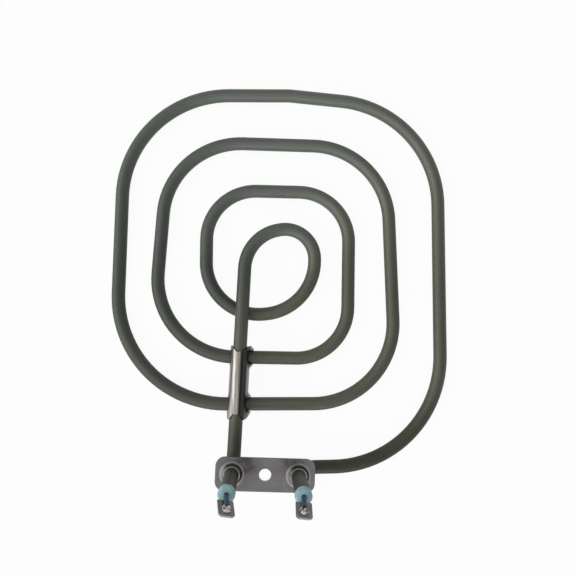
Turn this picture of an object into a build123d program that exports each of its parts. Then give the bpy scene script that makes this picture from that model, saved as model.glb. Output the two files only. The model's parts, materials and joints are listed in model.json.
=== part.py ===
from build123d import *
import os
from math import cos, radians, sin, tan

# Tubular heating element: one long sheathed tube, bent into a flat rounded-square spiral, whose two
# ends come up through a flange plate. Millimetres, +Z out of the plate on the terminal side.
# The origin is the centre of the plate's fixing hole, on its outer face.

# --- Driving dimensions ---------------------------------------------------------------------------
# Sheathed tube
sheath_od = 6.5
sheath_wall = 0.6
coil_wound_od = 2.8         # outer size of the wound resistance coil
fit_gap = 0.05              # play between a piece and what it sits in
touch_gap = 0.3             # clear space where one tube crosses over another

# Flange plate
plate_length = 45.0
plate_width = 15.0
plate_thickness = 1.5
plate_corner = 4.2
plate_edge = 0.3            # rounding of the plate's outer edge
fixing_hole = 5.5
terminal_pitch = 30.0
collar_height = 2.2         # of each drawn collar above the plate's outer face
collar_wall = 0.6
collar_root = 1.1           # rounding where the collar rises from the plate
collar_mouth = 0.7          # rounding of the drawn hole on the coil side
collar_lip = 0.2            # broken edge round the collar's top

# Terminals, measured up from the plate's outer face
sheath_rise = 34.6
seal_depth = 4.0            # how far the seal goes down into the sheath
seal_skirt = 1.0            # how far it laps down over the outside of the sheath
seal_height = 1.9           # above the sheath's end
seal_od = 7.0
seal_round = 1.2
cold_pin_od = 2.0
cold_pin_foot = -1.0        # level of the cold pin's lower end
cold_pin_bend = 3.0
pin_clear = 1.2             # from the seal up to the corner of the pin's bend
pin_lap = 5.5               # from that corner to the end of the pin, on the tab
pin_bend_room = 0.9         # largest share of the shorter of those two that the bend may take
tab_width = 6.3
tab_thickness = 0.8
tab_length = 8.3
tab_chamfer = 1.0
tab_start = 1.2             # from the pin's bend to the tab's near edge
tab_lean_out = 26.7         # degrees that each tab leans away from the coil
tab_lean_side = {"left": 9.0, "right": -0.5}
tab_twist = {"left": -15.9, "right": -4.8}

# Foot of the terminals, and the stem that leads from the left one over the coil
foot_bend = 10.0
foot_straight = 0.5         # straight tube between the plate and the foot bend
stem_lean = 0.75            # degrees
lead_in_lean = 2.8          # degrees, of the last run into the right terminal

# The coil: straight runs round a centre, each tuple from the innermost turn outwards. A run has a
# reach, its distance from the coil's centre, and a lean from square in degrees, and is entered
# through a bend of the radius given.
coil_centre_x = 4.0
coil_centre_y = 92.0
top_reach = (22.6, 43.4, 67.8, 93.8)
top_lean = (12.0, 1.3, 1.0, 2.9)
top_bend = (20.5, 24.5, 39.0, 53.5)
right_reach = (16.9, 33.8, 55.5, 79.7)
right_lean = (2.5, 0.8, 3.4, 1.4)
right_bend = (14.5, 25.0, 39.0, 53.5)
bottom_reach = (17.6, 39.9, 62.1)
bottom_lean = (7.4, 1.0, 2.0)
bottom_bend = (26.5, 25.5, 40.0)
left_reach = (36.9, 60.5, 79.5)
left_lean = (2.0, -1.5, 1.5)
left_bend = (26.0, 39.0, 53.5)
lead_in_bend = 54.0
dent_place = 5.87           # along the outermost top run, from its middle to its slight dent
dent_lean = -3.1            # of the run past the dent
dent_bend = 20.0
bend_room = 0.99            # share of a run that the bends at its two ends may take between them

# Clip: one folded strap that ties the stem to the two turns beneath it
clip_thickness = 0.7
clip_gap = 0.1
clip_overhang = 3.7         # of the crown past the middle of the tube it crosses
clip_leg = 2.9              # width of each end leg, past the side of the tube it crosses
clip_splay = 5.0            # degrees that the legs spread
clip_clear = 1.0            # the legs end this far above what the coil lies on
clip_crown_flat = 3.0       # width of the crown's end between its slanted corners
clip_ear_left = 0.9         # how far each ear stands out from its leg
clip_ear_right = 1.9
clip_ear_run = 2.6          # length of each ear along its leg
clip_ear_top = 2.0          # from the stem's axis down to an ear's upper edge
clip_ear_drop = 3.2         # how far an ear falls as it stands out

# --- Worked out from them -------------------------------------------------------------------------
sheath_r = sheath_od / 2
bore_r = sheath_r - sheath_wall
fill_r = bore_r - fit_gap
pin_r = cold_pin_od / 2
pin_hole_r = pin_r + fit_gap
stem_z = -plate_thickness - foot_straight - foot_bend
coil_z = stem_z - sheath_od - touch_gap
terminal_x = {"left": -terminal_pitch / 2, "right": terminal_pitch / 2}
fill_top = sheath_rise - seal_depth
seal_top = sheath_rise + seal_height
pin_corner_z = seal_top + pin_clear
same = 0.01                 # edges closer than this in size or level are taken as the same
past = 1.0                  # how far a cut runs on past the piece that it cuts


# --- The tube's route -----------------------------------------------------------------------------
def run_at(heading, reach):
    """A straight run as its left-hand normal and its distance from the coil's centre."""
    return -sin(radians(heading)), cos(radians(heading)), reach


def run_through(heading, x, y):
    """The straight run at this heading through a point."""
    across, along, _ = run_at(heading, 0)
    return across, along, across * (x - coil_centre_x) + along * (y - coil_centre_y)


def place_on(heading, reach, distance):
    """A point this far along a straight run from its middle."""
    across_x, across_y, _ = run_at(heading, reach)
    x = coil_centre_x + across_x * reach + across_y * distance
    return x, coil_centre_y + across_y * reach - across_x * distance


def corner(first, second):
    """Where two straight runs meet, by Cramer's rule."""
    ax, ay, a = first
    bx, by, b = second
    det = ax * by - ay * bx
    return coil_centre_x + (a * by - ay * b) / det, coil_centre_y + (ax * b - a * bx) / det


stem_run = run_through(90 - stem_lean, terminal_x["left"], 0)
bottom_runs = [run_at(180 + lean, reach) for reach, lean in zip(bottom_reach, bottom_lean)]


def coil_runs():
    """All runs in order from the stem to the right terminal, and the bend that leads into each."""
    tops = [(run_at(lean, reach), bend) for reach, lean, bend in zip(top_reach, top_lean, top_bend)]
    right_sizes = zip(right_reach, right_lean, right_bend)
    rights = [(run_at(lean - 90, reach), bend) for reach, lean, bend in right_sizes]
    bottoms = list(zip(bottom_runs, bottom_bend))
    left_sizes = zip(left_reach, left_lean, left_bend)
    lefts = [(run_at(lean + 90, reach), bend) for reach, lean, bend in left_sizes]
    steps = []
    for top, right, bottom, left in zip(tops, rights, bottoms, lefts):
        steps += [top, right, bottom, left]
    dented = run_through(dent_lean, *place_on(top_lean[-1], top_reach[-1], dent_place))
    steps += [tops[-1], (dented, dent_bend), rights[-1]]
    steps.append((run_through(180 + lead_in_lean, terminal_x["right"], 0), lead_in_bend))
    return [stem_run] + [run for run, _ in steps], [bend for _, bend in steps]


def held_bends(points, wanted):
    """The bends' radii, as wanted unless the two that share a run are too large for it."""
    runs = [after - before for before, after in zip(points, points[1:])]
    half_turns = [tan(radians(arriving.get_angle(leaving) / 2)) for arriving, leaving in zip(runs, runs[1:])]
    setbacks = [radius * half_turn for radius, half_turn in zip(wanted, half_turns)]
    taken = [before + after for before, after in zip([0.0] + setbacks, setbacks + [0.0])]
    shares = [min(1.0, bend_room * run.length / length) for run, length in zip(runs, taken)]
    return [radius * min(pair) for radius, pair in zip(wanted, zip(shares, shares[1:]))]


def route(top):
    """The tube's centreline, from this level above one end of the plate to the same at the other."""
    runs, bends = coil_runs()
    flat = [corner(first, second) for first, second in zip(runs, runs[1:])]
    levels = [stem_z, (stem_z + coil_z) / 2] + [coil_z] * (len(flat) - 2)
    left, right = terminal_x["left"], terminal_x["right"]
    points = [Vector(left, 0, top), Vector(left, 0, stem_z)]
    points += [Vector(x, y, level) for (x, y), level in zip(flat, levels)]
    points += [Vector(right, 0, coil_z), Vector(right, 0, top)]
    return FilletPolyline(*points, radius=held_bends(points, [foot_bend] + bends + [foot_bend]))


def along(path, *radii):
    """A round bar carried along a path, or a tube when a second radius is given."""
    section = Sketch() + Circle(radii[0])
    if len(radii) > 1:
        section -= Circle(radii[1])
    return sweep(Plane(origin=path @ 0, z_dir=path % 0) * section, path=path)


def upright(x, radius, low, high):
    """A vertical round bar on a terminal's axis."""
    return extrude(Plane(origin=(x, 0, low)) * Circle(radius), high - low)


# --- Sub-parts ------------------------------------------------------------------------------------
def make_sheath():
    return along(route(sheath_rise), sheath_r, bore_r)


def make_fill():
    """Compacted powder round the coil and the cold pins, up to the two seals."""
    fill = along(route(fill_top), fill_r)
    fill -= along(route(cold_pin_foot), coil_wound_od / 2 + fit_gap)
    for x in terminal_x.values():
        fill -= upright(x, pin_hole_r, cold_pin_foot, fill_top)
    return fill


def make_resistance_coil():
    """The wound coil's outer shape, from the foot of one cold pin to the other."""
    return along(route(cold_pin_foot), coil_wound_od / 2)


def tab_direction(side):
    """The way a tab points, and the way its inner face looks, towards its pin."""
    out, sideways = radians(tab_lean_out), radians(tab_lean_side[side])
    point = Vector(sin(sideways), -sin(out) * cos(sideways), cos(out) * cos(sideways))
    face = point.cross(Vector(1, 0, 0)).normalized()
    return point, face.rotate(Axis((0, 0, 0), point), tab_twist[side])


def make_cold_pin(side):
    """A straight pin out of the seal, bent over so that its end lies along the tab."""
    point, _ = tab_direction(side)
    x = terminal_x[side]
    pin_corner = Vector(x, 0, pin_corner_z)
    half_turn = tan(radians(point.get_angle(Vector(0, 0, 1)) / 2))
    bend = min(cold_pin_bend, pin_bend_room * min(pin_clear, pin_lap) / half_turn)
    foot, end = Vector(x, 0, cold_pin_foot), pin_corner + point * pin_lap
    path = FilletPolyline(foot, pin_corner, end, radius=[bend])
    return along(path, pin_r)


def make_tab(side):
    """A flat blade with cut corners, its inner face against the pin."""
    point, face = tab_direction(side)
    middle = tab_start + tab_length / 2
    origin = Vector(terminal_x[side], 0, pin_corner_z) - face * (pin_r + fit_gap) + point * middle
    blade = Rectangle(tab_length, tab_width)
    blade = chamfer(blade.vertices().group_by(Axis.X)[-1], tab_chamfer)
    return extrude(Plane(origin=origin, x_dir=point, z_dir=face) * blade, -tab_thickness)


def make_seal(side):
    """A round bead that plugs the sheath's mouth, laps over its end and is domed above it."""
    seal_r, skirt_r, plug_r = seal_od / 2, sheath_r + fit_gap, bore_r - fit_gap
    skirt_foot = sheath_rise - seal_skirt
    outline = Polyline(
        (pin_hole_r, fill_top), (plug_r, fill_top), (plug_r, sheath_rise), (skirt_r, sheath_rise),
        (skirt_r, skirt_foot), (seal_r, skirt_foot), (seal_r, seal_top), (pin_hole_r, seal_top), close=True,
    )
    seal = revolve(Plane.XZ * make_face(outline), Axis.Z)
    rims = seal.edges().filter_by(GeomType.CIRCLE).group_by(Axis.Z)[-1]
    rim = rims.sort_by(SortBy.RADIUS)[-1]
    seal = fillet(rim, min(seal_round, seal_r - pin_hole_r, seal_height))
    return Pos(terminal_x[side], 0, 0) * seal


def rings_at(shape, radius, level):
    """The shape's circular edges of this radius at this level."""
    rings = shape.edges().filter_by(GeomType.CIRCLE)
    return [e for e in rings if abs(e.radius - radius) < same and abs(e.center().Z - level) < same]


def make_plate():
    """Pressed plate with a fixing hole and a collar drawn up round each terminal."""
    hole_r = sheath_r + fit_gap
    collar_r = hole_r + collar_wall
    outline = RectangleRounded(plate_length, plate_width, plate_corner)
    plate = extrude(Plane(origin=(0, 0, -plate_thickness)) * outline, plate_thickness)
    levels = plate.edges().group_by(Axis.Z)
    plate = fillet(levels[0] + levels[-1], plate_edge)
    plate -= upright(0, fixing_hole / 2, -plate_thickness, 0)
    for x in terminal_x.values():
        plate += upright(x, collar_r, -plate_thickness, collar_height)
    for x in terminal_x.values():
        plate -= upright(x, hole_r, -plate_thickness, collar_height)
    plate = fillet(rings_at(plate, collar_r, 0), collar_root)
    plate = fillet(rings_at(plate, hole_r, -plate_thickness), collar_mouth)
    return chamfer(rings_at(plate, collar_r, collar_height), collar_lip)


def make_clip():
    """A strap folded over the stem, slotted over the two turns beneath, with ears turned out."""
    inner, outer = sheath_r + clip_gap, sheath_r + clip_gap + clip_thickness
    drop = coil_z - stem_z
    leg_foot = drop - sheath_r + clip_clear
    spread = tan(radians(clip_splay))
    slot_r = sheath_r + touch_gap
    crossings = [Vector(*corner(stem_run, run), stem_z) for run in bottom_runs[1:]]
    middle = (crossings[0] + crossings[1]) / 2
    half_pitch = (crossings[0] - crossings[1]).length / 2
    half_length = half_pitch + slot_r + clip_leg

    def fold(radius):
        foot = radius - spread * leg_foot
        return [
            Line((-foot, leg_foot), (-radius, 0)),
            ThreePointArc((-radius, 0), (0, radius), (radius, 0)),
            Line((radius, 0), (foot, leg_foot)),
            Line((foot, leg_foot), (-foot, leg_foot)),
        ]

    section = make_face(fold(outer)) - make_face(fold(inner))
    clip = extrude(Plane.XZ * section, half_length, both=True)
    for end, lean in ((1, bottom_lean[1]), (-1, bottom_lean[2])):
        slot = Plane.YZ * (Circle(slot_r) + Pos(0, -slot_r) * Rectangle(2 * slot_r, 2 * slot_r))
        turned = Pos(0, end * half_pitch, drop) * Rot(0, 0, lean + stem_lean)
        clip -= turned * extrude(slot, 3 * outer, both=True)
        near, far = end * (half_pitch + clip_overhang), end * (half_length + past)
        flat = clip_crown_flat / 2
        notch = Polyline((-flat, near), (flat, near), (outer, far), (-outer, far), close=True)
        clip -= extrude(Plane(origin=(0, 0, -clip_ear_top)) * make_face(notch), 2 * outer)
        for away in (1, -1):
            edge = end * half_pitch + away * (slot_r + clip_thickness / 2)
            for side, stand in ((1, clip_ear_right), (-1, clip_ear_left)):
                root = side * (outer - clip_thickness / 2 + spread * clip_ear_top)
                tip = root + side * (stand + spread * clip_ear_drop)
                ear = Polyline(
                    (root, edge + away * clip_ear_run, -clip_ear_top), (root, edge, -clip_ear_top),
                    (tip, edge, -clip_ear_top - clip_ear_drop), close=True,
                )
                clip += extrude(make_face(ear), clip_thickness / 2, both=True)
    return Plane(origin=middle, x_dir=(cos(radians(stem_lean)), -sin(radians(stem_lean)), 0)) * clip


nodes = {
    "sheath": make_sheath(),
    "magnesia_fill": make_fill(),
    "resistance_coil": make_resistance_coil(),
    "flange_plate": make_plate(),
    "coil_clip": make_clip(),
}
for side in terminal_x:
    nodes[f"cold_pin_{side}"] = make_cold_pin(side)
    nodes[f"seal_{side}"] = make_seal(side)
    nodes[f"tab_{side}"] = make_tab(side)

os.makedirs("parts", exist_ok=True)
for name, shape in nodes.items():
    export_step(shape, f"parts/{name}.step")
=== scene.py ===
"""Tubular heating element: finishes, small details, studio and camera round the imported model. Metres."""
import json
from math import cos, pi, radians, sin, tan

import bmesh
import bpy
import numpy as np
from mathutils import Matrix, Vector


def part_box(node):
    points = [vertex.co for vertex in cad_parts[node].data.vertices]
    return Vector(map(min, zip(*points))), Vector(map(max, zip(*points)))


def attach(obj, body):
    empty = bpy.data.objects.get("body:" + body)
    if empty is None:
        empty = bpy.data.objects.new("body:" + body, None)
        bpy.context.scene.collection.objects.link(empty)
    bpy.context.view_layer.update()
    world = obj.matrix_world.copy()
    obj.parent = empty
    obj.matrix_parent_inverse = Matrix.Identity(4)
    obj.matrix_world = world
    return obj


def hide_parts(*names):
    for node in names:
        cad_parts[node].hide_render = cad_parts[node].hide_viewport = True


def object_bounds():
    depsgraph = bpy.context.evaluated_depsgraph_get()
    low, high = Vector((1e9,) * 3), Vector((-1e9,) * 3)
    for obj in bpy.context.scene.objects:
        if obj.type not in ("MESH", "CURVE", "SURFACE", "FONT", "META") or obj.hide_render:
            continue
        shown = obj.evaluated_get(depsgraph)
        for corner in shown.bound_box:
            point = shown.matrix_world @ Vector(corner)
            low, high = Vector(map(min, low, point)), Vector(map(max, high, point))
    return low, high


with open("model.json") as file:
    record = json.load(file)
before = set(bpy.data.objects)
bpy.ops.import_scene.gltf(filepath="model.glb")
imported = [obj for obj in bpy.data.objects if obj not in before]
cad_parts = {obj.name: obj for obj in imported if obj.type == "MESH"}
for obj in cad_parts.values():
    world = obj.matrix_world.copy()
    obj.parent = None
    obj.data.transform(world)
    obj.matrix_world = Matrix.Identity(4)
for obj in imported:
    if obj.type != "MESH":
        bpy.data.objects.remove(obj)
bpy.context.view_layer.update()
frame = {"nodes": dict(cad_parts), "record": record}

mm = 0.001

# --- Driving values -------------------------------------------------------------------------------
# Camera: above the coil, looking down with a slight tilt and roll
image_size = 576
focal_pixels = 576.0
nadir_pixel = (265.0, 346.0)            # the point of the image that lies straight below the camera
camera_roll = 2.1                       # degrees
camera_place = (-2.379 * mm, 57.621 * mm, 265.917 * mm)
sensor_width = 36.0
camera_near = 0.01                      # where its view begins, in metres

# Studio, in metres and watts
lamp_aim = Vector((0, 80 * mm, 0))
lamps = {                               # place, width and height, power
    "side": ((-1.40, 0.0, 0.84), (1.8, 1.8), 20.0),
    "front": ((-0.20, -1.58, 0.80), (1.8, 1.0), 12.2),
    "over": ((0.0, 0.10, 1.40), (1.2, 1.2), 3.5),
}
world_light = 0.34
floor_rings = (0.0, 1.0, 2.0)           # radii of the flat floor's inner rings
floor_reach = 4.0                       # radius of the flat floor
cove_radius = 1.0                       # of the bend from the floor up into the wall
cove_steps = 25
wall_height = 3.2
floor_grey = 0.85                       # of the floor's own colour
floor_rays = ("Camera", "Glossy", "Transmission")         # which see the floor lifted to white
floor_clear = 0.05 * mm                 # between the floor and the lowest part of the coil
floor_lift = 0.94                       # share of plain white in the floor's look; the rest has the shadow

# Meshes
round_steps = 96                        # of what is turned round
merge_distance = 0.001 * mm             # under which two points of a mesh are one

# Where the tube's and the plate's finishes, painted light and painted shade change
coil_centre = (4 * mm, 92 * mm)
tone_middle = 4 * mm                    # radius round the coil's centre in which the tube's painted light evens out
lead_in_along = (-4 * mm, 50 * mm)      # along Y, where the lead-in's painted shade fades out
lead_in_reach = (62 * mm, 80 * mm)      # distances from the coil's centre at which it starts and is whole
riser_shade_levels = (-4 * mm, 3 * mm)        # along Z, where the painted shade on the risers comes on
terminal_pitch = 30 * mm
collar_root = (4.4 * mm, 5.1 * mm)      # radii between which the painted shade at each collar's root ends
collar_rim = ((4.8 * mm, 5.1 * mm), (5.4 * mm, 5.7 * mm))       # where the painted highlight ring round it starts and ends
collar_lip = 2.0 * mm                   # level above which a collar's lip has a painted highlight
lip_rise = 0.2 * mm                     # in which that comes on
lip_width = (3.65 * mm, 3.95 * mm)      # radii between which it ends
collar_shade = (-3.5 * mm, 2.5 * mm)    # across a collar, from its lit side to its shaded side
plate_stains = (((-8.5 * mm, 4.5 * mm), 0.75), ((12 * mm, 6.5 * mm), 0.5))      # place and strength
stain_reach = (1.5 * mm, 8 * mm)        # radii between which a stain fades

# Clip: a strap folded over the stem and slotted over the two turns beneath, its slots' corners turned out
stem_lean = radians(0.75)
sheath_radius = 3.25 * mm
clip_gap = 0.1 * mm
clip_thickness = 0.7 * mm
clip_slot = 3.55 * mm                   # radius of each slot, about a turn's axis
clip_leg = 2.9 * mm                     # from a slot's edge to the solid's end
clip_short = 1.1 * mm                   # of the strap's far end against the solid's
clip_splay = radians(5)
turn_drop = 6.8 * mm                    # from the stem's axis down to the turns' axes
turn_lean = {1: radians(1.75), -1: radians(2.75)}       # of the far and near turn from square to the stem
crown_overhang = {1: 2.6 * mm, -1: 3.7 * mm}    # of the crown past the middle of the far and near turn
crown_flat = 1.5 * mm                   # half the width of the crown's end between its slanted corners
crown_slant = 3.9 * mm                  # how far the slanted corners would reach past it
foot_round = 0.8 * mm
end_round = 1.3 * mm
flare_out = {1: 1.9 * mm, -1: 0.25 * mm}        # of the slots' corners on the right and left leg
flare_run = 2.6 * mm                    # along the bay between the slots
flare_end = 3.3 * mm                    # towards the strap's ends
flare_bulge = 1.25                      # 1 is a straight slant towards the strap's end, 2 a parabola
flare_inside = 1.3 * mm                 # how far the flare goes on over the slot
flare_levels = (2.0 * mm, 5.2 * mm)     # below the stem's axis, where it starts and is whole
clip_along = 91                         # even places along the strap
clip_round = 41                         # points round its crown
clip_down = 30                          # steps down a leg
slot_steps = (-0.6, -0.3, -0.15, -0.06, -0.02, 0, 0.02, 0.06, 0.15, 0.3, 0.6)      # mm from a slot's edge
end_steps = (0, 0.03, 0.1, 0.25, 0.5)   # mm from the strap's ends
clip_flank_shade = ((0.3 * mm, 1.2 * mm), (4.3 * mm, 5.0 * mm))        # across the strap, where the painted shade down the crown's right flank starts and ends
clip_leg_shade = (5 * mm, 1.6 * mm)          # below the crown's top, between which the legs' painted shade ends
clip_ear_highlight = (5.0 * mm, 5.9 * mm)        # across the strap, where the painted highlight on the turned-out corners comes on

# Welds, which melt each pin's end on to its tab
weld_length = 4.6 * mm
weld_width = 3.7 * mm
weld_height = 1.6 * mm
weld_sunk = 0.02 * mm                   # of a weld's underside into its tab
weld_ripple = 0.26                      # height of its ridges, as a share of its own
weld_place = {"left": 0.58, "right": 0.57}      # share of the tab's length from its near edge
weld_turn = {"left": 0.55, "right": 0.1}        # radians that the ridges are turned by
weld_dome = 0.6                         # power of its rise: a half ellipse at 0.5
weld_waves = 6.5                        # of the ridges, in radians a half length
weld_sway = (0.9, 2.6)                  # of the ridges, how far and how fast
weld_bulges = ((0.07, 3, 2), (0.05, 7, 1))      # of its outline: share, count round it, share of weld_turn
weld_rings = 40
tab_outward = (0.0, 1.0, 0.5)           # roughly the way that the tabs' welded faces point


# --- Shader maths ---------------------------------------------------------------------------------
class Value:
    """A socket of numbers. Arithmetic on it adds Math nodes."""

    def __init__(self, nodes, socket):
        self.nodes = nodes
        self.socket = socket

    def math(self, operation, *values):
        inputs = dict(enumerate(values))
        return self.nodes.value("ShaderNodeMath", {"operation": operation}, inputs)

    def __add__(self, other):
        return self.math("ADD", self, other)

    def __sub__(self, other):
        return self.math("SUBTRACT", self, other)

    def __rsub__(self, other):
        return self.math("SUBTRACT", other, self)

    def __mul__(self, other):
        return self.math("MULTIPLY", self, other)

    def __truediv__(self, other):
        return self.math("DIVIDE", self, other)

    __radd__ = __add__
    __rmul__ = __mul__

    def step(self, low, high):
        """0 below low, 1 above high, smooth between."""
        inputs = {"Value": self, "From Min": low, "From Max": high}
        return self.nodes.value("ShaderNodeMapRange", {"interpolation_type": "SMOOTHSTEP"}, inputs)


class Finish:
    """A material made of nodes."""

    def __init__(self, name):
        self.material = bpy.data.materials.new(name)
        self.material.use_nodes = True
        self.tree = self.material.node_tree
        self.tree.nodes.clear()

    def add(self, kind, settings=None, inputs=None):
        """A node of this type, with its settings first and then its sockets' values or links."""
        node = self.tree.nodes.new(kind)
        for name, setting in (settings or {}).items():
            setattr(node, name, setting)
        for name, value in (inputs or {}).items():
            socket = node.inputs[name]
            if isinstance(value, Value):
                value = value.socket
            if isinstance(value, bpy.types.NodeSocket):
                self.tree.links.new(value, socket)
            else:
                socket.default_value = value
        return node

    def value(self, kind, settings=None, inputs=None, output=0):
        return Value(self, self.add(kind, settings, inputs).outputs[output])

    def place(self, stretch=(1, 1, 1)):
        """Object coordinates, stretched by these factors."""
        there = self.add("ShaderNodeTexCoord").outputs["Object"]
        return self.add("ShaderNodeMapping", inputs={"Vector": there, "Scale": stretch}).outputs[0]

    def noise(self, size, detail=3.0, roughness=0.5, stretch=(1, 1, 1)):
        """Noise from 0 to 1 whose lumps are about this size."""
        inputs = {"Vector": self.place(stretch), "Scale": 1 / size, "Detail": detail, "Roughness": roughness}
        return self.value("ShaderNodeTexNoise", None, inputs)

    def across(self, axis):
        """One of the object coordinates, in metres."""
        there = self.add("ShaderNodeTexCoord").outputs["Object"]
        return self.value("ShaderNodeSeparateXYZ", None, {"Vector": there}, "XYZ".index(axis))

    def reach(self, centre, stretch=(1, 1, 1)):
        """Distance from a point, in metres, with the axes stretched by these factors."""
        inputs = {0: self.place(stretch), 1: centre}
        return self.value("ShaderNodeVectorMath", {"operation": "DISTANCE"}, inputs, "Value")

    def blend(self, share, first, second):
        """A colour between two colours."""
        first, second = (tuple(c) + (1,) if isinstance(c, tuple) else c for c in (first, second))
        return self.add("ShaderNodeMix", {"data_type": "RGBA"}, {0: share, 6: first, 7: second}).outputs[2]

    def bump(self, height, distance, strength):
        inputs = {"Height": height, "Distance": distance, "Strength": strength}
        return self.add("ShaderNodeBump", inputs=inputs).outputs[0]

    def shade(self, **inputs):
        named = {name.replace("_", " "): value for name, value in inputs.items()}
        shader = self.add("ShaderNodeBsdfPrincipled", inputs=named)
        self.add("ShaderNodeOutputMaterial", inputs={"Surface": shader.outputs[0]})
        return self.material


# --- Finishes -------------------------------------------------------------------------------------
def sheath_finish():
    """Annealed stainless tube: dark olive grey with cloudy scale and a few scuffs. Painted light makes it
    lightest on the far side, then the near one, and darkest on the left; painted shade darkens the lead-in
    and the risers. It is greenish on the far left and brownish on the near right."""
    made = Finish("annealed_sheath")
    cloud = made.noise(22 * mm, 4.0).step(0.35, 0.68)
    mottle = made.noise(1.6 * mm, 5.0, 0.65).step(0.3, 0.75)
    scuff = made.noise(3.5 * mm, 6.0, 0.75).step(0.66, 0.72)
    x, y = made.across("X") - coil_centre[0], made.across("Y") - coil_centre[1]
    squared = x * x + y * y + tone_middle ** 2
    far = squared.math("SQRT", squared)
    x, y = x / far, y / far
    # painted light: lighter towards the far side and the right, and on the far and near runs than on the
    # side ones
    painted_light_and_cloud = 0.50 + x * 0.08 + y * 0.14 + (y * y - x * x) * 0.19
    # painted shade along the lead-in
    lead_in_shade = (1 - made.across("Y").step(*lead_in_along)) * far.step(*lead_in_reach)
    painted_light_and_cloud = painted_light_and_cloud - lead_in_shade * 0.52 + cloud * 0.08 - 0.04
    warm = (0.5 + x * 0.45 - y * 0.35).step(0.0, 1.0)
    cool_tone = made.blend(painted_light_and_cloud, (0.049, 0.054, 0.046), (0.158, 0.177, 0.156))
    warm_tone = made.blend(painted_light_and_cloud, (0.053, 0.054, 0.042), (0.174, 0.177, 0.139))
    colour = made.blend(warm, cool_tone, warm_tone)
    colour = made.blend(scuff * 0.35, colour, (0.19, 0.19, 0.17))
    # painted shade on the risers, a dark reflection
    riser_shade = made.across("Z").step(*riser_shade_levels)
    colour = made.blend(riser_shade * 0.75, colour, (0.050, 0.048, 0.040))
    rough = 0.52 + cloud * 0.05 + mottle * 0.06 - scuff * 0.05
    grain = made.bump(mottle, 0.03 * mm, 0.35)
    return made.shade(
        Base_Color=colour, Metallic=0.85, Roughness=rough, Specular_IOR_Level=0.3, Normal=grain,
    )


def plate_finish():
    """Rolled stainless sheet: fine lines along the plate and soft heat stains. Each collar has painted shade
    at its root, deepest on its shaded side, a painted highlight ring round it, brightest on its lit side,
    and a painted highlight on its thin lip."""
    made = Finish("rolled_plate")
    lines = made.noise(0.5 * mm, 3.0, 0.6, (0.05, 1, 1))
    smudge = made.noise(7 * mm, 4.0).step(0.35, 0.7)
    tint = made.noise(11 * mm, 2.0).step(0.4, 0.7)
    colour = made.blend(smudge, (0.165, 0.160, 0.158), (0.222, 0.217, 0.215))
    colour = made.blend(tint * 0.35, colour, (0.195, 0.168, 0.180))
    patch = 0.45 + made.noise(4 * mm, 3.0).step(0.3, 0.62) * 0.55
    for (x, y), stain in plate_stains:
        near = 1 - made.reach((x, y, 0)).step(*stain_reach)
        colour = made.blend(near * patch * stain, colour, (0.045, 0.033, 0.034))
    # painted highlight on each collar's lip
    lip = made.across("Z").step(collar_lip, collar_lip + lip_rise)
    for x in (-terminal_pitch / 2, terminal_pitch / 2):
        radius = made.reach((x, 0, 0), (1, 1, 0))
        # which side of each collar faces away from the light, for its painted shade and highlight
        shaded = (made.across("X") + made.across("Y") - x).step(*collar_shade)
        # painted shade at the collar's root, deepest on its shaded side
        root = (1 - radius.step(*collar_root)) * (0.25 + shaded * 0.68)
        # painted highlight ring round the collar, brightest on its lit side
        rim = radius.step(*collar_rim[0]) * (1 - radius.step(*collar_rim[1])) * (0.85 - shaded * 0.5)
        colour = made.blend(root, colour, (0.036, 0.034, 0.034))
        colour = made.blend(rim, colour, (0.52, 0.51, 0.51))
        colour = made.blend(lip * (1 - radius.step(*lip_width)) * 0.8, colour, (0.45, 0.44, 0.43))
    rough = 0.27 + lines * 0.16 + smudge * 0.05
    grooves = made.bump(lines, 0.02 * mm, 0.3)
    return made.shade(Base_Color=colour, Metallic=1.0, Roughness=rough, Normal=grooves)


def clip_finish():
    """Bright strip: streaks along the strap and a faint heat tint, with painted shade down the crown's right
    flank and on the legs, and a painted highlight on the turned-out corners."""
    made = Finish("bright_strip")
    streak = made.noise(0.8 * mm, 3.0, 0.55, (1, 0.04, 1))
    tint = made.noise(5 * mm, 2.0, 0.5, (1, 0.4, 1)).step(0.4, 0.66)
    colour = made.blend(streak.step(0.36, 0.64), (0.125, 0.118, 0.122), (0.42, 0.41, 0.385))
    colour = made.blend(tint * 0.45, colour, (0.235, 0.215, 0.165))
    across = made.across("X") - made.across("Y") * tan(stem_lean) + terminal_pitch / 2
    # painted shade, a dark reflection down the crown's right flank
    flank_shade = across.step(*clip_flank_shade[0]) * (1 - across.step(*clip_flank_shade[1]) * 0.9)
    colour = made.blend(flank_shade * 0.93, colour, (0.028, 0.031, 0.027))
    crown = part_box("coil_clip")[1][2]
    # painted shade on the legs below the crown
    legs = 1 - made.across("Z").step(*[crown - below for below in clip_leg_shade])
    # painted highlight on the turned-out corners
    ear_highlight = across.step(*clip_ear_highlight)
    colour = made.blend(legs * 0.72, colour, (0.090, 0.085, 0.100))
    colour = made.blend(ear_highlight * 0.8, colour, (0.36, 0.37, 0.35))
    rough = 0.25 + streak * 0.14
    fine = made.bump(streak, 0.03 * mm, 0.3)
    edge_tint = (0.72, 0.72, 0.72, 1)
    return made.shade(Base_Color=colour, Metallic=1.0, Roughness=rough, Specular_Tint=edge_tint, Normal=fine)


def pin_finish():
    """Drawn steel with a dark bluish oxide."""
    made = Finish("oxidised_pin")
    lines = made.noise(0.35 * mm, 3.0, 0.5, (1, 1, 0.08))
    colour = made.blend(lines.step(0.3, 0.7), (0.030, 0.055, 0.080), (0.065, 0.100, 0.130))
    return made.shade(Base_Color=colour, Metallic=0.9, Roughness=0.3 + lines * 0.15)


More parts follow.
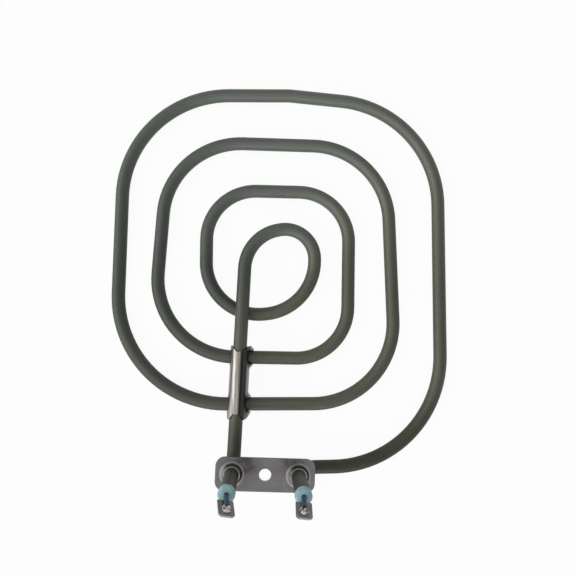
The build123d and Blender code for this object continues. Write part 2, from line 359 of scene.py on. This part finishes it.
def tab_finish():
    """Welding blade: dark grey with a purple cast, mottled and dull."""
    made = Finish("darkened_tab")
    mottle = made.noise(1.1 * mm, 4.0, 0.6)
    heat = made.noise(4 * mm, 2.0).step(0.42, 0.66)
    colour = made.blend(mottle.step(0.3, 0.7), (0.165, 0.155, 0.160), (0.250, 0.240, 0.245))
    colour = made.blend(heat * 0.5, colour, (0.19, 0.16, 0.185))
    rough = 0.4 + mottle * 0.15
    pitted = made.bump(mottle, 0.03 * mm, 0.3)
    return made.shade(Base_Color=colour, Metallic=0.9, Roughness=rough, Normal=pitted)


def weld_finish():
    """Melted and cooled steel: dark hollows, and bright crinkled ridges."""
    made = Finish("weld_metal")
    ripple = made.noise(1.7 * mm, 4.0, 0.6, (0.55, 1.5, 1.5))
    crinkle = ripple.step(0.42, 0.62)
    colour = made.blend(crinkle, (0.12, 0.11, 0.11), (0.60, 0.58, 0.55))
    bumps = made.bump(ripple, 0.45 * mm, 0.9)
    return made.shade(Base_Color=colour, Metallic=0.95, Roughness=0.24 + ripple * 0.2, Normal=bumps)


def seal_finish():
    """Cast silicone bead, blue green, satin, with faint specks of dust."""
    made = Finish("silicone_bead")
    cloud = made.noise(2.4 * mm, 3.0).step(0.3, 0.7)
    speck = made.noise(0.35 * mm, 2.0).step(0.70, 0.78)
    colour = made.blend(cloud, (0.20, 0.355, 0.37), (0.29, 0.455, 0.465))
    colour = made.blend(speck * 0.6, colour, (0.55, 0.62, 0.62))
    rough = 0.36 + cloud * 0.1 + speck * 0.2
    waves = made.bump(cloud, 0.03 * mm, 0.25)
    return made.shade(Base_Color=colour, Roughness=rough, Normal=waves)


def magnesia_finish():
    """Pressed white powder, fine grained."""
    made = Finish("pressed_magnesia")
    grain = made.noise(0.4 * mm, 5.0, 0.7)
    colour = made.blend(grain, (0.66, 0.65, 0.61), (0.82, 0.81, 0.78))
    grit = made.bump(grain, 0.04 * mm, 0.6)
    return made.shade(Base_Color=colour, Roughness=0.85 + grain * 0.1, Normal=grit)


def wire_finish():
    """Resistance wire with a grey brown oxide."""
    made = Finish("resistance_wire")
    oxide = made.noise(0.8 * mm, 4.0, 0.6)
    colour = made.blend(oxide.step(0.3, 0.7), (0.20, 0.18, 0.16), (0.33, 0.31, 0.28))
    return made.shade(Base_Color=colour, Metallic=0.9, Roughness=0.4 + oxide * 0.15)


tab_material = tab_finish()
pin_material = pin_finish()
seal_material = seal_finish()
finishes = {
    "sheath": sheath_finish(), "magnesia_fill": magnesia_finish(), "resistance_coil": wire_finish(),
    "flange_plate": plate_finish(), "coil_clip": clip_finish(),
    "cold_pin_left": pin_material, "cold_pin_right": pin_material,
    "seal_left": seal_material, "seal_right": seal_material,
    "tab_left": tab_material, "tab_right": tab_material,
}
for name, finish in finishes.items():
    node = frame["nodes"][name]
    node.data.materials.clear()
    node.data.materials.append(finish)


# --- Details --------------------------------------------------------------------------------------
def grid_faces(rows, columns, joined):
    """Four-sided faces of a grid of points, whose rows are joined round or open."""
    row, column = np.meshgrid(np.arange(rows - 1), np.arange(columns - (not joined)), indexing="ij")
    nearby = (column + 1) % columns
    corners = [row * columns + column, row * columns + nearby]
    corners += [(row + 1) * columns + nearby, (row + 1) * columns + column]
    return np.stack(corners, axis=-1).reshape(-1, 4)


def make_surface(name, points, joined, finish):
    """A smooth surface through a grid of points. Points that meet, at a pole or an edge, become one."""
    mesh = bpy.data.meshes.new(name)
    faces = grid_faces(*points.shape[:2], joined)
    mesh.from_pydata(points.reshape(-1, 3).tolist(), [], faces.tolist())
    made = bmesh.new()
    made.from_mesh(mesh)
    bmesh.ops.remove_doubles(made, verts=made.verts, dist=merge_distance)
    bmesh.ops.recalc_face_normals(made, faces=made.faces)
    made.to_mesh(mesh)
    made.free()
    mesh.shade_smooth()
    mesh.materials.append(finish)
    piece = bpy.data.objects.new(name, mesh)
    bpy.context.scene.collection.objects.link(piece)
    return piece


def tab_frame(side):
    """The tab's near edge on the pin's side, the way it points, its width's way and its outward normal."""
    mount = next(m for m in frame["record"]["mounts"] if m["name"] == f"tab_{side}")
    points = np.array([v.co[:] for v in frame["nodes"][f"tab_{side}"].data.vertices])
    point = np.array(mount["axis"]) / np.linalg.norm(mount["axis"])
    middle = points.mean(axis=0)
    _, _, axes = np.linalg.svd(points - middle)
    normal = axes[2] * np.sign(axes[2] @ tab_outward)
    across = np.cross(normal, point)
    along = (points - middle) @ point
    face = ((points - middle) @ normal).max()
    near = middle + point * along.min() + normal * face
    return near, point, across, normal, along.max() - along.min()


def make_weld(side, finish):
    """An oval dome, height times (1 - u^2)^0.6 at radius u, times 1 plus a sine that runs across it on a
    slant and sways with a slower sine. Its outline swells by two sines, and it is closed in the tab."""
    near, point, across, normal, length = tab_frame(side)
    turn, u = np.meshgrid(np.linspace(0, 2 * pi, round_steps, endpoint=False), np.linspace(0, 1, weld_rings))
    first = weld_turn[side]
    x, y = u * np.cos(turn - first), u * np.sin(turn - first)
    ridges = np.sin(weld_waves * x + weld_sway[0] * np.sin(weld_sway[1] * y + first))
    rim = 1 + sum(share * np.sin(count * turn + phase * first) for share, count, phase in weld_bulges)
    height = weld_height * (1 - u ** 2) ** weld_dome * (1 + weld_ripple * ridges)
    long = np.cos(turn) * u * rim * weld_length / 2
    wide = np.sin(turn) * u * rim * weld_width / 2
    top = np.stack([long, wide, height], axis=-1)
    under = top[::-1].copy()
    under[..., 2] = -weld_sunk
    grid = np.concatenate([top, under])
    centre = near + point * length * weld_place[side]
    place = centre + grid[..., :1] * point + grid[..., 1:2] * across + grid[..., 2:] * normal
    piece = make_surface(f"weld_{side}", place, True, finish)
    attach(piece, "root")


def clip_leg_depth(t, slots, full):
    """How far down a leg reaches at each place along it: the upper half circle of a slot over each turn,
    elsewhere the full depth, with a quarter circle at each slot's foot and at the strap's ends."""
    depth = np.full(t.shape, full)
    for slot in slots:
        beside = np.abs(t - slot)
        arch = turn_drop - np.sqrt(np.clip(clip_slot ** 2 - beside ** 2, 0, None))
        corner = np.clip((beside - clip_slot) / foot_round, 0, 1)
        rounded = turn_drop + (full - turn_drop) * np.sqrt(1 - (1 - corner) ** 2)
        depth = np.minimum(depth, np.where(beside < clip_slot, arch, rounded))
    spare = np.clip((np.abs(t).max() - np.abs(t)) / end_round, 0, 1)
    return depth - end_round * (1 - np.sqrt(1 - (1 - spare) ** 2))


def clip_flare(t, down, slots, out):
    """How far a leg's sheet stands out: whole at a slot's edge, falling off by the square along the bay and
    by a gentle curve towards the strap's end, and rising from nothing between two levels."""
    rise = np.clip((down - flare_levels[0]) / (flare_levels[1] - flare_levels[0]), 0, 1)
    rise = rise * rise * (3 - 2 * rise)
    flare = np.zeros(np.broadcast(t, down).shape)
    for slot in slots:
        away = np.abs(t - slot) - clip_slot
        ends = np.sign(t - slot) == np.sign(slot)
        bay = np.clip(1 - away / flare_run, 0, 1) ** 2
        end = 1 - np.clip(away / flare_end, 0, 1) ** flare_bulge
        inside = np.clip(1 + away / flare_inside, 0, 1) ** 2
        flare = np.maximum(flare, np.where(away < 0, inside, np.where(ends, end, bay)) * rise * out)
    return flare


def clip_sheet(half, full):
    """The strap's middle surface, across, along and up from the stem's axis: a half circle over the stem
    with a splayed straight leg each side, carried along the stem. Each leg ends at its depth, and stands
    out by its flare. The crown ends short of the legs, with slanted corners. What lies past the far slot
    is drawn in evenly."""
    pitch = half - clip_slot - clip_leg
    radius = sheath_radius + clip_gap + clip_thickness / 2
    fine = np.array(slot_steps) * mm
    edges = [end * pitch + side * clip_slot + fine for end in (1, -1) for side in (1, -1)]
    ends = half - np.array(end_steps) * mm
    place = np.unique(np.concatenate([np.linspace(-half, half, clip_along), *edges, ends, -ends]))
    angle = np.linspace(-pi / 2, pi / 2, clip_round)
    x = radius * np.sin(angle)
    corner = np.clip((np.abs(x) - crown_flat) / (radius + clip_thickness / 2 - crown_flat), 0, 1)
    reaches = [np.minimum(pitch + crown_overhang[end] + crown_slant * corner, half) for end in (1, -1)]
    far, near = [reach[:, None] for reach in reaches]
    crown_place = place / half * np.where(place > 0, far, near)
    crown = np.stack(np.broadcast_arrays(x[:, None], crown_place, radius * np.cos(angle)[:, None]), axis=-1)
    share = np.linspace(0, 1, clip_down + 1)[1:, None]
    legs = {}
    for side in (1, -1):
        slots = [end * pitch + side * radius * tan(turn_lean[end]) for end in (1, -1)]
        down = share * clip_leg_depth(place, slots, full)
        out = radius + tan(clip_splay) * down + clip_flare(place, down, slots, flare_out[side])
        legs[side] = np.stack([side * out, np.broadcast_to(place, out.shape), -down], axis=-1)
    sheet = np.concatenate([legs[-1][::-1], crown, legs[1]])
    sheet[..., 1] -= np.clip(sheet[..., 1] - (half - clip_leg), 0, None) * clip_short / clip_leg
    return sheet


def make_clip(finish):
    """The strap's middle surface, set over the stem within the solid's box and given its thickness."""
    low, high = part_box("coil_clip")
    over_stem = sheath_radius + clip_gap + clip_thickness
    sheet = clip_sheet((high[1] - low[1]) / 2, high[2] - low[2] - over_stem)
    centre_y = (low[1] + high[1]) / 2
    middle = np.array((tan(stem_lean) * centre_y - terminal_pitch / 2, centre_y, high[2] - over_stem))
    across = np.array((cos(stem_lean), -sin(stem_lean), 0))
    along = np.array((sin(stem_lean), cos(stem_lean), 0))
    up = np.array((0, 0, 1))
    points = middle + sheet[..., :1] * across + sheet[..., 1:2] * along + sheet[..., 2:] * up
    piece = make_surface("folded_clip", points, False, finish)
    wall = piece.modifiers.new("wall", "SOLIDIFY")
    wall.thickness = clip_thickness
    wall.offset = 0
    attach(piece, "root")
    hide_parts("coil_clip")


make_clip(finishes["coil_clip"])
weld_material = weld_finish()
for side in weld_place:
    make_weld(side, weld_material)


# --- Studio ---------------------------------------------------------------------------------------
def floor_finish():
    """Pale, and lifted to white where a camera, reflection or refraction ray meets it."""
    made = Finish("white_floor")
    path = made.add("ShaderNodeLightPath")
    camera, glossy, through = [Value(made, path.outputs[f"Is {kind} Ray"]) for kind in floor_rays]
    together = camera + glossy + through
    seen = together.math("MINIMUM", together, 1.0)
    paper = made.add("ShaderNodeBsdfDiffuse", inputs={"Color": (floor_grey, floor_grey, floor_grey, 1)})
    glow = made.add("ShaderNodeEmission", inputs={"Color": (1, 1, 1, 1), "Strength": 1.0})
    mix = {0: seen * floor_lift, 1: paper.outputs[0], 2: glow.outputs[0]}
    mixed = made.add("ShaderNodeMixShader", inputs=mix)
    made.add("ShaderNodeOutputMaterial", inputs={"Surface": mixed.outputs[0]})
    return made.material


def make_floor():
    """A straight line, a quarter circle and a second straight line, turned round the vertical axis."""
    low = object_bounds()[0][2] - floor_clear
    bend = np.linspace(0, pi / 2, cove_steps)
    reach = [*floor_rings, *(floor_reach + cove_radius * np.sin(bend)), floor_reach + cove_radius]
    level = [*np.zeros(len(floor_rings)), *(cove_radius * (1 - np.cos(bend))), wall_height]
    turn = np.linspace(0, 2 * pi, round_steps, endpoint=False)
    around = np.stack([np.cos(turn), np.sin(turn), np.zeros_like(turn)], axis=-1)
    up = np.array((0, 0, 1))
    points = np.array(reach)[:, None, None] * around + (low + np.array(level))[:, None, None] * up
    make_surface("floor", points, True, floor_finish())


def make_world():
    world = bpy.data.worlds.new("studio")
    bpy.context.scene.world = world
    world.use_nodes = True
    back = world.node_tree.nodes["Background"]
    back.inputs["Color"].default_value = (1, 1, 1, 1)
    back.inputs["Strength"].default_value = world_light


def make_lamp(name, place, size, watts):
    """A soft panel that faces the coil's middle."""
    light = bpy.data.lights.new(name, "AREA")
    light.shape = "RECTANGLE"
    light.size, light.size_y = size
    light.energy = watts
    lamp = bpy.data.objects.new(name, light)
    bpy.context.scene.collection.objects.link(lamp)
    lamp.location = place
    lamp.rotation_euler = (lamp_aim - Vector(place)).to_track_quat("-Z", "Y").to_euler()


def make_camera():
    data = bpy.data.cameras.new("camera")
    data.sensor_width = sensor_width
    data.lens = sensor_width * focal_pixels / image_size
    data.clip_start = camera_near
    camera = bpy.data.objects.new("camera", data)
    bpy.context.scene.collection.objects.link(camera)
    across, under = [(pixel - image_size / 2) / focal_pixels for pixel in nadir_pixel]
    down = Vector((across, -under, -1)).normalized()
    right = Vector((cos(radians(camera_roll)), -sin(radians(camera_roll)), 0))
    right = (right - down * right.dot(down)).normalized()
    up = -down
    turn = Matrix((right, up.cross(right), up))      # its rows are the world's axes as the camera sees them
    camera.matrix_world = Matrix.Translation(camera_place) @ turn.to_4x4()
    bpy.context.scene.camera = camera


make_floor()
make_world()
for name, (place, size, watts) in lamps.items():
    make_lamp(name, place, size, watts)
make_camera()
bpy.context.scene.view_settings.view_transform = "Standard"
